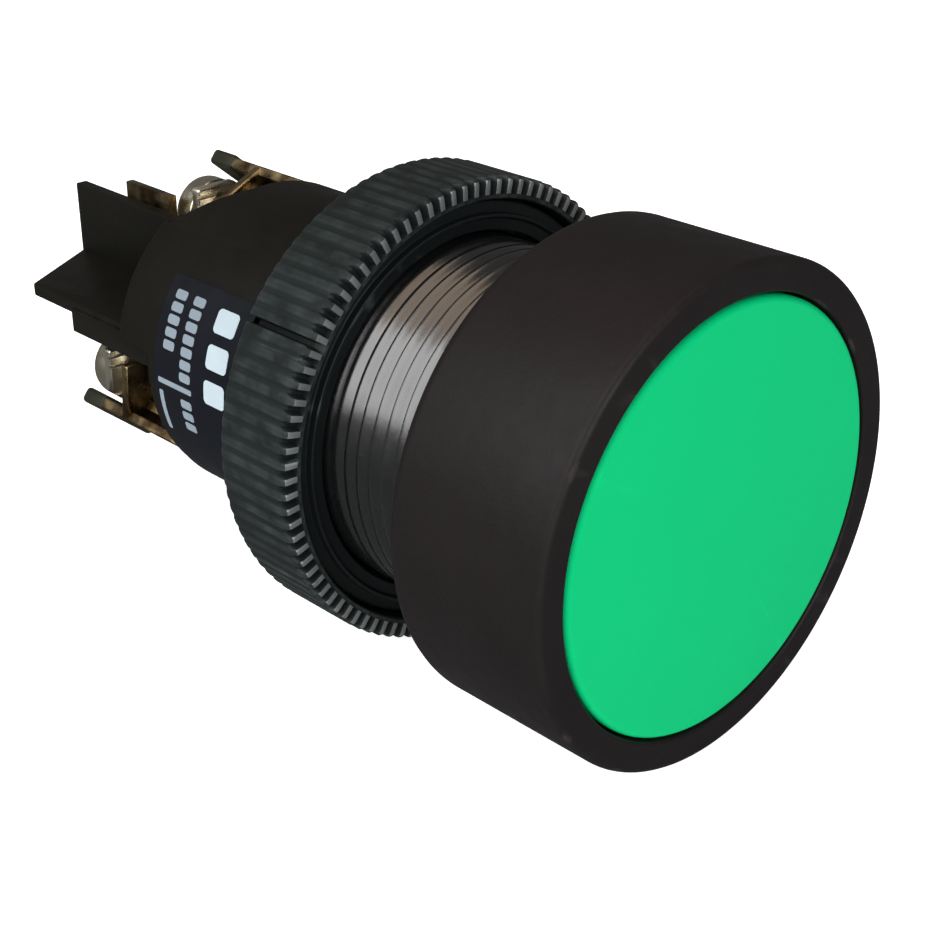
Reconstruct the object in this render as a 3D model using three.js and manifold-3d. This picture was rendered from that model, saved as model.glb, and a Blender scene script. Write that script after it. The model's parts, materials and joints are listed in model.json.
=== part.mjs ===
// Industrial push button: flush cap, one normally open contact, for a 22 mm panel hole.
//
// Millimetres, +Z up. The push axis is Y: the operator's side faces -Y and the terminals face +Y.
// The origin is the centre of the panel seat, the flat back of the bezel that bears on the panel.
// Every turned piece is a profile of [radius, y] points revolved about Y; every stamped piece is an
// outline of [x, z] points extruded along Y. Angles round the axis are in degrees from +X towards +Z.

import * as THREE from 'three';
import { mergeVertices } from 'three/addons/utils/BufferGeometryUtils.js';
import Module from 'manifold-3d';

const wasm = await Module();
wasm.setup();

// ---------------------------------------------------------------- driving dimensions

const TRAVEL = 3.0; // full travel of the cap
const BRIDGE_TRAVEL = 2.0; // travel of the moving contact until its tips meet the fixed tips
const RUNNING_GAP = 0.3; // clearance between neighbouring pieces

const BEZEL = {
  radius: 14.5, depth: 11.0, bore: 12.62, web: 2.4, neckGap: 0.25, frontRound: 0.4, backRound: 0.9,
};
const GASKET = { inner: 11.8, outer: 12.7, thickness: 0.7, groove: 0.8, sideGap: 0.1, below: 0.05 };
const CAP = { radius: 12.45, thickness: 1.6, skirtInner: 11.2, skirtDepth: 3.2, edge: 0.35 };

const NECK = { radius: 10.9, bore: 8.3, end: 15.0, flangeRadius: 12.4, flangeThickness: 1.3 };
const NECK_WEB = { front: 10.0, back: 11.2, hole: 2.3 };
const KEYWAY = { angle: 270, halfWidth: 1.1, depth: 0.6, start: 0.5 };

const NUT = { front: 8.2, back: 14.0, radius: 14.45, bore: 11.05, recessRadius: 13.16, recessDepth: 1.6 };
const NUT_SLOT = { angles: [146, 326], width: 0.5, depth: 0.5 };
const WASHER = { inner: 11.2, outer: 12.9, front: 8.5, back: 9.5, keyHalfWidth: 0.8, keyReach: 10.5 };

const PLUNGER = { headRadius: 10.9, headThickness: 1.5, tubeRadius: 8.0, tubeBore: 5.4 };
const PLUNGER_TUBE_END = NECK_WEB.front - TRAVEL - 0.4; // clears the neck's web with the cap pressed
const STEM = { radius: 1.9, step: 13.0, tipRadius: 1.1, end: 19.2, clipGroove: 0.85 };
const SEAL = { groove: 7.2, inner: 7.35, outer: 8.2, front: -2.45, back: -0.95, sideGap: 0.15 };
const RETURN_SPRING = { radius: 4.0, wire: 0.35, turns: 7, stepsPerTurn: 14 };
const BRIDGE_SPRING = { radius: 1.6, wire: 0.2, turns: 5, stepsPerTurn: 10 };
const SPRING_END_GAP = 0.1;
const SPRING_WIRE_SIDES = 6;

const HOUSING = { radius: 10.2, bore: 8.9, shoulder: 15.3, end: 30.2 };
const SPIGOT = { radius: 8.15, bore: 7.0, start: 11.6 }; // the housing's front end, inside the neck
const WINDOW = { sectors: [[-8, 115], [172, 295]], start: 26.8 };
const LABEL = { from: 141, to: 262, start: 17.4, end: 26.0, lift: 0.05, thickness: 0.1 };

// The barrier is a cross of two arms with a slanted rear edge on the level one.
const BLOCK = { radius: 8.6, front: 24.0, back: 26.2 };
const ARM = { halfThickness: 0.45, uprightReach: 5.45, levelReach: 7.2, levelEnd: 45.0, end: 49.0 };
const RIB = { reach: 7.4, thickness: 1.7, end: 40.0 };
const PAD = { end: 32.5, screwWell: 1.9, wellBottom: 25.2 };

// Each terminal sits in one quadrant of the barrier, on a line at this angle; the other is half a turn away.
const TERMINAL_ANGLE = 50;
const SHEET = 0.7;
const STRAP = { inner: 7.85, outer: 8.55, halfWidth: 1.6 };
const SEAT = { front: 32.9, back: 32.9 + SHEET, edge: 2.1, sideReach: 7.9, topReach: 7.4 };
const LEG = { inner: 9.1, outer: 9.8, halfWidth: 2.5, start: 27.2, end: 38.2 };
const FLANGE = { near: 0.7, far: 1.35, top: 6.4, end: 44.2 };
const FLANGE_NOTCH = { front: 34.6, back: 39.0, bottom: 3.9 }; // opens the flange beside the screw
const CONTACT_ARM = { front: 21.0, innerReach: 3.9 };
const TIP = { at: 5.2, radius: 1.3, fixedFace: 20.4, round: 0.2, seatGap: 0.02, closedGap: 0.05 };
const BRIDGE = { halfLength: 6.4, halfWidth: 2.0, front: 16.9, thickness: 0.8, hole: 1.3 };
const CLIP = { inner: 0.95, outer: 2.2, front: 17.9, back: 18.3, opening: 1.4, sideGap: 0.05 };

// The terminals stand open, with the screws backed out to take a wire.
const SCREW = { at: 6.2, shank: 1.45, head: 2.4, headHeight: 2.1, clearanceHole: 1.75, end: 29.55 };
const CLAMP = { front: 36.9, thickness: 0.8, headGap: 0.15 };

const SMOOTH = 72; // facets round the large outer surfaces
const MEDIUM = 48; // facets round inner pieces
const SMALL = 24; // facets round small pieces

// ---------------------------------------------------------------- materials

function finish(color, roughness, metalness = 0) {
  return new THREE.MeshStandardMaterial({ color, roughness, metalness });
}

const MATT_BLACK = finish(0x1f1d1e, 0.55);
const GLOSS_BLACK = finish(0x121315, 0.25);
const NUT_BLACK = finish(0x24292a, 0.45);
const HOUSING_BLACK = finish(0x171614, 0.4);
const GREEN = finish(0x10c47a, 0.4);
const WHITE_NYLON = finish(0xd9d6cc, 0.5);
const RUBBER = finish(0x1a1a1a, 0.9);
const SPRING_STEEL = finish(0xb8babd, 0.25, 1);
const BRASS = finish(0xb08d4a, 0.3, 1);
const SCREW_METAL = finish(0xd8cfae, 0.25, 1);
const SILVER = finish(0xdedede, 0.2, 1);
const LABEL_FILM = finish(0x131c2c, 0.35);

// ---------------------------------------------------------------- shape helpers

// Points of a circular arc in a profile, both ends included.
function arc(centreX, centreY, radius, fromDegrees, toDegrees, steps) {
  const points = [];
  for (let i = 0; i <= steps; i += 1) {
    const angle = THREE.MathUtils.degToRad(fromDegrees + ((toDegrees - fromDegrees) * i) / steps);
    points.push([centreX + radius * Math.cos(angle), centreY + radius * Math.sin(angle)]);
  }
  return points;
}

// Points all round a circle, the first not repeated.
function circle(centreX, centreY, radius, steps) {
  const points = arc(centreX, centreY, radius, 0, 360, steps).slice(0, steps);
  return points.map(([x, y]) => new THREE.Vector2(x, y));
}

// A closed profile of [radius, y] points, revolved about the Y axis.
function revolve(profile, segments) {
  const points = profile.map(([radius, y]) => new THREE.Vector2(radius, y));
  if (THREE.ShapeUtils.area(points) < 0) points.reverse();
  if (points.some((point) => point.x === 0)) {
    // Start at the axis point that is followed by a point off the axis.
    const start = points.findIndex((point, i) => point.x === 0 && points[(i + 1) % points.length].x > 0);
    points.push(...points.splice(0, start));
  } else {
    points.push(points[0].clone());
  }
  return new THREE.LatheGeometry(points, segments);
}

// A plain ring between two radii.
function ring(inner, outer, front, back, segments) {
  return revolve([[inner, front], [outer, front], [outer, back], [inner, back]], segments);
}

// An outline of [x, z] points extruded along Y, with optional round holes as [x, z, radius].
function prism(outline, front, back, holes = []) {
  const shape = new THREE.Shape(outline.map(([x, z]) => new THREE.Vector2(x, -z)));
  for (const [x, z, radius] of holes) {
    shape.holes.push(new THREE.Path(circle(x, -z, radius, SMALL)));
  }
  const geometry = new THREE.ExtrudeGeometry(shape, { depth: back - front, bevelEnabled: false });
  geometry.rotateX(-Math.PI / 2);
  geometry.translate(0, front, 0);
  return geometry;
}

// A box between two corners.
function box(x0, x1, y0, y1, z0, z1) {
  const geometry = new THREE.BoxGeometry(x1 - x0, y1 - y0, z1 - z0);
  geometry.translate((x0 + x1) / 2, (y0 + y1) / 2, (z0 + z1) / 2);
  return geometry;
}

// A sector of a ring between two angles.
function ringSector(inner, outer, from, to, front, back, steps) {
  const outline = [...arc(0, 0, outer, from, to, steps), ...arc(0, 0, inner, to, from, steps)];
  return prism(outline, front, back);
}

// Turns a geometry about Y so that what lay along +X lies at the given angle.
function turned(geometry, degrees) {
  return geometry.rotateY(-THREE.MathUtils.degToRad(degrees));
}

// A coil spring of round wire about the Y axis, between the two faces that it presses on.
function coilSpring({ radius, wire, turns, stepsPerTurn }, front, back) {
  const inset = wire + SPRING_END_GAP;
  class Helix extends THREE.Curve {
    getPoint(t, target = new THREE.Vector3()) {
      const angle = 2 * Math.PI * turns * t;
      const y = THREE.MathUtils.lerp(front + inset, back - inset, t);
      return target.set(radius * Math.cos(angle), y, radius * Math.sin(angle));
    }
  }
  return new THREE.ExtrudeGeometry(new THREE.Shape(circle(0, 0, wire, SPRING_WIRE_SIDES)), {
    steps: turns * stepsPerTurn,
    extrudePath: new Helix(),
    bevelEnabled: false,
  });
}

// A closed geometry as a solid that can be cut and joined.
function solid(geometry) {
  const bare = geometry.clone();
  bare.deleteAttribute('normal');
  bare.deleteAttribute('uv');
  const merged = mergeVertices(bare, 1e-4);
  return new wasm.Manifold(
    new wasm.Mesh({
      numProp: 3,
      vertProperties: new Float32Array(merged.attributes.position.array),
      triVerts: new Uint32Array(merged.index.array),
    }),
  );
}

function geometryOf(manifold) {
  const mesh = manifold.getMesh();
  const geometry = new THREE.BufferGeometry();
  geometry.setAttribute('position', new THREE.BufferAttribute(mesh.vertProperties, 3));
  geometry.setIndex(new THREE.BufferAttribute(mesh.triVerts, 1));
  return geometry;
}

function join(...geometries) {
  return geometryOf(geometries.map(solid).reduce((whole, next) => whole.add(next)));
}

function cut(geometry, ...tools) {
  return geometryOf(tools.map(solid).reduce((rest, tool) => rest.subtract(tool), solid(geometry)));
}

// ---------------------------------------------------------------- operator side

function bezel() {
  const { radius, depth, bore, web, neckGap, frontRound, backRound } = BEZEL;
  const grooveInner = GASKET.inner - GASKET.sideGap;
  const grooveOuter = GASKET.outer + GASKET.sideGap;
  const neckHole = NECK.radius + neckGap;
  const innerEdge = 0.2;
  return revolve(
    [
      [bore + innerEdge, -depth],
      ...arc(radius - frontRound, -depth + frontRound, frontRound, -90, 0, 3),
      ...arc(radius - backRound, -backRound, backRound, 0, 90, 4),
      [grooveOuter, 0],
      [grooveOuter, -GASKET.groove],
      [grooveInner, -GASKET.groove],
      [grooveInner, 0],
      [neckHole, 0],
      [neckHole, -web],
      [bore, -web],
      [bore, -depth + innerEdge],
    ],
    SMOOTH,
  );
}

function panelGasket() {
  return ring(GASKET.inner, GASKET.outer, -GASKET.below - GASKET.thickness, -GASKET.below, MEDIUM);
}

function buttonCap() {
  const { radius, thickness, skirtInner, skirtDepth, edge } = CAP;
  const face = -BEZEL.depth;
  return revolve(
    [
      [0, face],
      ...arc(radius - edge, face + edge, edge, -90, 0, 3),
      [radius, face + skirtDepth],
      [skirtInner, face + skirtDepth],
      [skirtInner, face + thickness],
      [0, face + thickness],
    ],
    SMOOTH,
  );
}

// ---------------------------------------------------------------- threaded neck and fixing

function threadedNeck() {
  const flangeBack = -BEZEL.web - RUNNING_GAP;
  const flangeFront = flangeBack - NECK.flangeThickness;
  const chamfer = 0.4;
  const tube = revolve(
    [
      [NECK.bore + RUNNING_GAP, flangeFront],
      [NECK.flangeRadius, flangeFront],
      [NECK.flangeRadius, flangeBack],
      [NECK.radius, flangeBack],
      [NECK.radius, NECK.end - chamfer],
      [NECK.radius - chamfer, NECK.end],
      [NECK.bore, NECK.end],
      [NECK.bore, NECK_WEB.back],
      [NECK_WEB.hole, NECK_WEB.back],
      [NECK_WEB.hole, NECK_WEB.front],
      [NECK.bore, NECK_WEB.front],
      [NECK.bore, flangeFront + RUNNING_GAP],
    ],
    SMOOTH,
  );
  const keyway = box(
    NECK.radius - KEYWAY.depth, NECK.radius + 1,
    KEYWAY.start, NECK.end + 1,
    -KEYWAY.halfWidth, KEYWAY.halfWidth,
  );
  return cut(tube, turned(keyway, KEYWAY.angle));
}

function ringNut() {
  const { front, back, radius, bore, recessRadius, recessDepth } = NUT;
  const edge = 0.25;
  const lead = 0.35;
  const body = revolve(
    [
      [recessRadius, front],
      [radius - edge, front],
      [radius, front + edge],
      [radius, back - edge],
      [radius - edge, back],
      [bore + lead, back],
      [bore, back - lead],
      [bore, front + recessDepth],
      [recessRadius, front + recessDepth],
    ],
    SMOOTH,
  );
  const slots = NUT_SLOT.angles.map((angle) => turned(
    box(radius - NUT_SLOT.depth, radius + 1, front - 1, back + 1, -NUT_SLOT.width / 2, NUT_SLOT.width / 2),
    angle,
  ));
  return cut(body, ...slots);
}

function thrustWasher() {
  const { inner, outer, front, back, keyHalfWidth, keyReach } = WASHER;
  const key = box(keyReach, inner + 0.5, front, back, -keyHalfWidth, keyHalfWidth);
  return join(ring(inner, outer, front, back, SMOOTH), turned(key, KEYWAY.angle));
}

// ---------------------------------------------------------------- plunger and springs

const PLUNGER_FACE = -BEZEL.depth + CAP.thickness + RUNNING_GAP;
const PLUNGER_HEAD_BACK = PLUNGER_FACE + PLUNGER.headThickness;

function plunger() {
  const grooveFront = SEAL.front - SEAL.sideGap;
  const grooveBack = SEAL.back + SEAL.sideGap;
  const clipFront = CLIP.front - CLIP.sideGap;
  const clipBack = CLIP.back + CLIP.sideGap;
  return revolve(
    [
      [0, PLUNGER_FACE],
      [PLUNGER.headRadius, PLUNGER_FACE],
      [PLUNGER.headRadius, PLUNGER_HEAD_BACK],
      [PLUNGER.tubeRadius, PLUNGER_HEAD_BACK],
      [PLUNGER.tubeRadius, grooveFront],
      [SEAL.groove, grooveFront],
      [SEAL.groove, grooveBack],
      [PLUNGER.tubeRadius, grooveBack],
      [PLUNGER.tubeRadius, PLUNGER_TUBE_END],
      [PLUNGER.tubeBore, PLUNGER_TUBE_END],
      [PLUNGER.tubeBore, PLUNGER_HEAD_BACK],
      [STEM.radius, PLUNGER_HEAD_BACK],
      [STEM.radius, STEM.step],
      [STEM.tipRadius, STEM.step],
      [STEM.tipRadius, clipFront],
      [STEM.clipGroove, clipFront],
      [STEM.clipGroove, clipBack],
      [STEM.tipRadius, clipBack],
      [STEM.tipRadius, STEM.end],
      [0, STEM.end],
    ],
    MEDIUM,
  );
}

function plungerSeal() {
  const { inner, outer, front, back } = SEAL;
  const round = 0.3;
  return revolve(
    [
      [inner, front + round],
      [inner + round, front],
      [outer - round, front],
      [outer, front + round],
      [outer, back - round],
      [outer - round, back],
      [inner + round, back],
      [inner, back - round],
    ],
    MEDIUM,
  );
}

function returnSpring() {
  return coilSpring(RETURN_SPRING, PLUNGER_HEAD_BACK, NECK_WEB.front);
}

function bridgeSpring() {
  return coilSpring(BRIDGE_SPRING, STEM.step, BRIDGE.front);
}

function stemClip() {
  const disc = ring(CLIP.inner, CLIP.outer, CLIP.front, CLIP.back, SMALL);
  const mouth = box(0, CLIP.outer + 1, CLIP.front - 1, CLIP.back + 1, -CLIP.opening / 2, CLIP.opening / 2);
  return cut(disc, mouth);
}

// ---------------------------------------------------------------- contacts

// Built along +X, then turned onto the terminals' line.
function contactBridge() {
  const { halfLength, halfWidth, front, thickness, hole } = BRIDGE;
  const round = 0.8;
  const outline = [
    [halfLength - round, -halfWidth],
    [halfLength, -halfWidth + round],
    [halfLength, halfWidth - round],
    [halfLength - round, halfWidth],
    [-halfLength + round, halfWidth],
    [-halfLength, halfWidth - round],
    [-halfLength, -halfWidth + round],
    [-halfLength + round, -halfWidth],
  ];
  return turned(prism(outline, front, front + thickness, [[0, 0, hole]]), TERMINAL_ANGLE);
}

// A round contact tip from its seat to its rounded face, on the terminals' line.
function contactTip(seat, face) {
  const { at, radius, round } = TIP;
  const rim = face - Math.sign(face - seat) * round;
  const tip = revolve([[0, seat], [radius, seat], [radius, rim], [radius - round, face], [0, face]], SMALL);
  tip.translate(at, 0, 0);
  return turned(tip, TERMINAL_ANGLE);
}

function bridgeTip() {
  const seat = BRIDGE.front + BRIDGE.thickness + TIP.seatGap;
  return contactTip(seat, TIP.fixedFace - BRIDGE_TRAVEL - TIP.closedGap);
}

function fixedTip() {
  return contactTip(CONTACT_ARM.front - TIP.seatGap, TIP.fixedFace);
}

// ---------------------------------------------------------------- terminals, in the first quadrant

const TERMINAL_DIRECTION = THREE.MathUtils.degToRad(TERMINAL_ANGLE);

// A point at a distance out along the terminals' line and a distance to its side, as [x, z].
function onTerminalLine(out, side) {
  return [
    out * Math.cos(TERMINAL_DIRECTION) - side * Math.sin(TERMINAL_DIRECTION),
    out * Math.sin(TERMINAL_DIRECTION) + side * Math.cos(TERMINAL_DIRECTION),
  ];
}

const SCREW_PLACE = onTerminalLine(SCREW.at, 0);

// A cylinder on the screw's axis, for cutting the holes that the screw passes through.
function screwHole(radius, front, back) {
  const hole = revolve([[0, front], [radius, front], [radius, back], [0, back]], SMALL);
  return hole.translate(SCREW_PLACE[0], 0, SCREW_PLACE[1]);
}

// One bent sheet: contact arm, strap through the block, wire seat, outer leg and notched flange.
function terminalPlate() {
  const legPlate = box(LEG.inner, LEG.outer, LEG.start, LEG.end, -LEG.halfWidth, LEG.halfWidth);
  const strap = box(
    STRAP.inner, STRAP.outer,
    CONTACT_ARM.front, SEAT.back,
    -STRAP.halfWidth, STRAP.halfWidth,
  );
  const arm = box(
    CONTACT_ARM.innerReach, STRAP.outer,
    CONTACT_ARM.front, CONTACT_ARM.front + SHEET,
    -STRAP.halfWidth, STRAP.halfWidth,
  );
  const seat = prism(
    [
      [FLANGE.near, SEAT.edge],
      [SEAT.sideReach, SEAT.edge],
      onTerminalLine(LEG.outer, -LEG.halfWidth),
      onTerminalLine(LEG.outer, LEG.halfWidth),
      [FLANGE.near, SEAT.topReach],
    ],
    SEAT.front,
    SEAT.back,
  );
  const flange = box(FLANGE.near, FLANGE.far, SEAT.front, FLANGE.end, SEAT.edge, FLANGE.top);
  const whole = join(
    turned(legPlate, TERMINAL_ANGLE),
    turned(strap, TERMINAL_ANGLE),
    turned(arm, TERMINAL_ANGLE),
    seat,
    flange,
  );
  const notch = box(
    FLANGE.near - 1, FLANGE.far + 1,
    FLANGE_NOTCH.front, FLANGE_NOTCH.back,
    FLANGE_NOTCH.bottom, FLANGE.top + 1,
  );
  return cut(whole, screwHole(SCREW.clearanceHole, SEAT.front - 1, SEAT.back + 1), notch);
}

// A square washer whose outer corner is cut off to clear the leg.
function clampWasher() {
  const outline = [[1.75, 2.5], [6.6, 2.5], [6.6, 5.7], [4.95, 7.1], [1.75, 7.1]];
  const hole = [SCREW_PLACE[0], SCREW_PLACE[1], SCREW.clearanceHole];
  return prism(outline, CLAMP.front, CLAMP.front + CLAMP.thickness, [hole]);
}

// A pan head with a cross recess on a plain shank.
function terminalScrew() {
  const headFront = CLAMP.front + CLAMP.thickness + CLAMP.headGap;
  const headBack = headFront + SCREW.headHeight;
  const point = 0.45;
  const round = 0.9;
  const body = revolve(
    [
      [0, SCREW.end],
      [SCREW.shank - point, SCREW.end],
      [SCREW.shank, SCREW.end + point],
      [SCREW.shank, headFront],
      [SCREW.head, headFront],
      ...arc(SCREW.head - round, headBack - round, round, 0, 90, 4),
      [0, headBack],
    ],
    SMALL,
  );
  const recess = { halfWidth: 0.35, halfLength: 1.4, depth: 1.0 };
  const slotAlongX = box(
    -recess.halfLength, recess.halfLength,
    headBack - recess.depth, headBack + 1,
    -recess.halfWidth, recess.halfWidth,
  );
  const slotAlongZ = box(
    -recess.halfWidth, recess.halfWidth,
    headBack - recess.depth, headBack + 1,
    -recess.halfLength, recess.halfLength,
  );
  const screw = cut(body, slotAlongX, slotAlongZ);
  screw.translate(SCREW_PLACE[0], 0, SCREW_PLACE[1]);
  return screw;
}

// ---------------------------------------------------------------- housing and barrier

function contactHousing() {
  const { radius, bore, shoulder, end } = HOUSING;
  const edge = 0.3;
  const wall = 1.3;
  const shell = revolve(
    [
      [SPIGOT.bore, SPIGOT.start],
      [SPIGOT.radius, SPIGOT.start],
      [SPIGOT.radius, shoulder],
      [radius, shoulder],
      [radius, end - edge],
      [radius - edge, end],
      [bore, end],
      [bore, shoulder + wall],
      [SPIGOT.bore, shoulder + wall],
    ],
    SMOOTH,
  );
  const windows = WINDOW.sectors.map(([from, to]) => (
    ringSector(bore - 1, radius + 1, from, to, WINDOW.start, end + 1, 8)
  ));
  return cut(shell, ...windows);
}

function label() {
  const inner = HOUSING.radius + LABEL.lift;
  return ringSector(inner, inner + LABEL.thickness, LABEL.from, LABEL.to, LABEL.start, LABEL.end, 24);
}

// The parts of the block in one terminal quadrant: the rib under the level arm and the pad under the seat.
function blockQuadrant() {
  const rib = box(0, RIB.reach, BLOCK.front, RIB.end, 0, RIB.thickness);
  const pad = prism([[0, 0], [6.6, 0], [6.6, 3.6], [3.4, 6.4], [0, 6.4]], BLOCK.back - 1, PAD.end);
  return [rib, pad];
}

// The material taken out of the block in one terminal quadrant: the strap's slot and the screw's well.
function blockQuadrantCuts() {
  const slot = box(
    STRAP.inner - RUNNING_GAP, BLOCK.radius + 1,
    BLOCK.front - 1, PAD.end + 1,
    -STRAP.halfWidth - RUNNING_GAP, STRAP.halfWidth + RUNNING_GAP,
  );
  return [turned(slot, TERMINAL_ANGLE), screwHole(PAD.screwWell, PAD.wellBottom, PAD.end + 1)];
}

// A level arm seen from above: square at the front and pointed towards the rear.
function levelArm() {
  const { levelReach, levelEnd, end, halfThickness } = ARM;
  const shape = new THREE.Shape([
    new THREE.Vector2(-levelReach, BLOCK.front),
    new THREE.Vector2(levelReach, BLOCK.front),
    new THREE.Vector2(levelReach, levelEnd),
    new THREE.Vector2(0, end),
    new THREE.Vector2(-levelReach, levelEnd),
  ]);
  const geometry = new THREE.ExtrudeGeometry(shape, { depth: 2 * halfThickness, bevelEnabled: false });
  geometry.translate(0, 0, -halfThickness);
  return geometry;
}

function terminalBlock() {
  const { halfThickness, uprightReach, end } = ARM;
  const floor = revolve(
    [[0, BLOCK.front], [BLOCK.radius, BLOCK.front], [BLOCK.radius, BLOCK.back], [0, BLOCK.back]],
    SMOOTH,
  );
  const upright = box(-halfThickness, halfThickness, BLOCK.front, end, -uprightReach, uprightReach);
  const opposite = (geometry) => turned(geometry, 180);
  const whole = join(
    floor,
    upright,
    levelArm(),
    ...blockQuadrant(),
    ...blockQuadrant().map(opposite),
  );
  return cut(whole, ...blockQuadrantCuts(), ...blockQuadrantCuts().map(opposite));
}

// ---------------------------------------------------------------- assembly

const button = new THREE.Group();

function piece(name, geometry, material, halfTurn = false) {
  const mesh = new THREE.Mesh(geometry, material);
  mesh.name = name;
  mesh.rotation.y = halfTurn ? Math.PI : 0;
  button.add(mesh);
}

piece('bezel', bezel(), MATT_BLACK);
piece('panel_gasket', panelGasket(), RUBBER);
piece('button_cap', buttonCap(), GREEN);
piece('threaded_neck', threadedNeck(), GLOSS_BLACK);
piece('ring_nut', ringNut(), NUT_BLACK);
piece('thrust_washer', thrustWasher(), NUT_BLACK);
piece('plunger', plunger(), WHITE_NYLON);
piece('plunger_seal', plungerSeal(), RUBBER);
piece('return_spring', returnSpring(), SPRING_STEEL);
piece('bridge_spring', bridgeSpring(), SPRING_STEEL);
piece('stem_clip', stemClip(), SPRING_STEEL);
piece('contact_bridge', contactBridge(), BRASS);
piece('contact_housing', contactHousing(), HOUSING_BLACK);
piece('label', label(), LABEL_FILM);
piece('terminal_block', terminalBlock(), HOUSING_BLACK);

// The lower terminal is the upper one turned half a turn about the push axis.
for (const [end, halfTurn] of [['upper', false], ['lower', true]]) {
  piece(`bridge_tip_${end}`, bridgeTip(), SILVER, halfTurn);
  piece(`fixed_tip_${end}`, fixedTip(), SILVER, halfTurn);
  piece(`terminal_plate_${end}`, terminalPlate(), BRASS, halfTurn);
  piece(`clamp_washer_${end}`, clampWasher(), BRASS, halfTurn);
  piece(`terminal_screw_${end}`, terminalScrew(), SCREW_METAL, halfTurn);
}

export default button;
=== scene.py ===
"""Industrial push button with a flush green cap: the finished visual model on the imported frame.

Blender works in metres. Sizes in this file are in millimetres, as in the CAD, and are scaled when a mesh
is made. The push axis is Y and the operator's side faces -Y. Angles round that axis are in degrees from +X
towards +Z. An outline is a list of corners, each (across, along) or (across, along, rounding).
"""

import json
import math

import bmesh
import bpy
from mathutils import Matrix, Vector


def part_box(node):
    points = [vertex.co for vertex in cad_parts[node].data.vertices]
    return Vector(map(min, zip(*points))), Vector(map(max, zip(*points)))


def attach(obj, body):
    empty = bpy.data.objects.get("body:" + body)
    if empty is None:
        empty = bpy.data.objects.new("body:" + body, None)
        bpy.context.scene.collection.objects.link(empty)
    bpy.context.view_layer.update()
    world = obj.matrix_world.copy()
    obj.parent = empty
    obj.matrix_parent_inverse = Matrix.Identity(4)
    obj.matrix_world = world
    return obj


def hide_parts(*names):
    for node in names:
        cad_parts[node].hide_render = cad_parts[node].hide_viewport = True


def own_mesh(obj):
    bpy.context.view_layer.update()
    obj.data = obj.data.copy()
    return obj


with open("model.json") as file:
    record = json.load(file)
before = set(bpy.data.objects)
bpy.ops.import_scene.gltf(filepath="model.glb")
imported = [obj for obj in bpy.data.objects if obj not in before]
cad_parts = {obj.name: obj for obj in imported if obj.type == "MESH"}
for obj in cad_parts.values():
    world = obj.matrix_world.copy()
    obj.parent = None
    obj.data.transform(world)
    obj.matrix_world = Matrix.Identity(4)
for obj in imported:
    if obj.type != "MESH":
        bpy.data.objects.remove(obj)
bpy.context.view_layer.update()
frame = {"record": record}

MM = 0.001
BODY_OF = {node: body for body, nodes in frame["record"]["behaviour"]["bodies"].items() for node in nodes}

# ---------------------------------------------------------------- detail sizes that the CAD boxes don't give

BEZEL_BORE = 12.62
BEZEL_WEB = 2.4
NECK_HOLE = 11.15
GASKET_GROOVE = (11.7, 12.8, 0.8)  # inner radius, outer radius, depth
CAP_SKIRT = 11.2
CAP_THICKNESS = 1.6

THREAD_PITCH = 1.0
THREAD_DEPTH = 0.3
THREAD_FORM = [  # (place along the pitch, height): a long front flank, a rounded crest, a short back flank
    (0.0, 0.0),
    (0.1, 0.12),
    (0.28, 0.46),
    (0.44, 0.76),
    (0.56, 0.93),
    (0.65, 1.0),
    (0.79, 0.97),
    (0.89, 0.5),
    (0.96, 0.1),
]
NECK_RADIUS = 10.9
NECK_BORE = 8.3
NECK_WEB = (10.0, 11.2, 2.3)  # front, back, hole radius
KEYWAY = (270, 1.1, 0.6, 0.5)  # angle, half width, depth, start

NUT_RIBS = 96
NUT_RIB_DEPTH = 0.06
NUT_TOOTH_DEPTH = 0.5
NUT_TOOTH_HIGHLIGHT_DEPTH = 0.12  # how far back from the front the tooth faces get the painted highlight colour
NUT_LIP = 0.3  # width of the plain rim inside the teeth
NUT_BORE = 11.05
NUT_RECESS = (13.16, 1.6)  # radius, depth
NUT_SLOT = (146, 0.18, 0.9)  # angle of the first of two, half width, depth

HOUSING_BORE = 8.9
HOUSING_SHOULDER = 15.3
SPIGOT = (8.15, 7.0)
WINDOWS = [(-8, 125), (172, 305)]
WINDOW_START = 26.8
WINDOW_SLOPE = (28, 2.6)  # degrees and rise of the slanted end

TERMINAL_ANGLE = 50
LEG = (9.1, 9.8, 2.5, 27.2, 38.2)  # inner, outer, half width, start, end
LEG_TIP = (8.9, 10.0, 35.9, 2.6)  # inner, outer, start, half width: a dark block round the leg's end
STRAP = (7.85, 8.55, 1.6)  # inner, outer, half width
CONTACT_ARM = (21.0, 3.9)  # front, inner reach
SEAT_EDGE = 2.1
SEAT_SIDE = 7.9
SEAT_TOP = 7.4
SEAT = (32.9, 33.6)
FLANGE = (0.7, 1.35, 6.4, 44.2)  # near, far, top, end
FLANGE_NOTCH = (34.6, 39.0, 3.9)  # front, back, bottom
SCREW_AT = 6.2
SCREW_SHANK = 1.45
SCREW_HOLE = 1.75

# ---------------------------------------------------------------- materials


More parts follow.
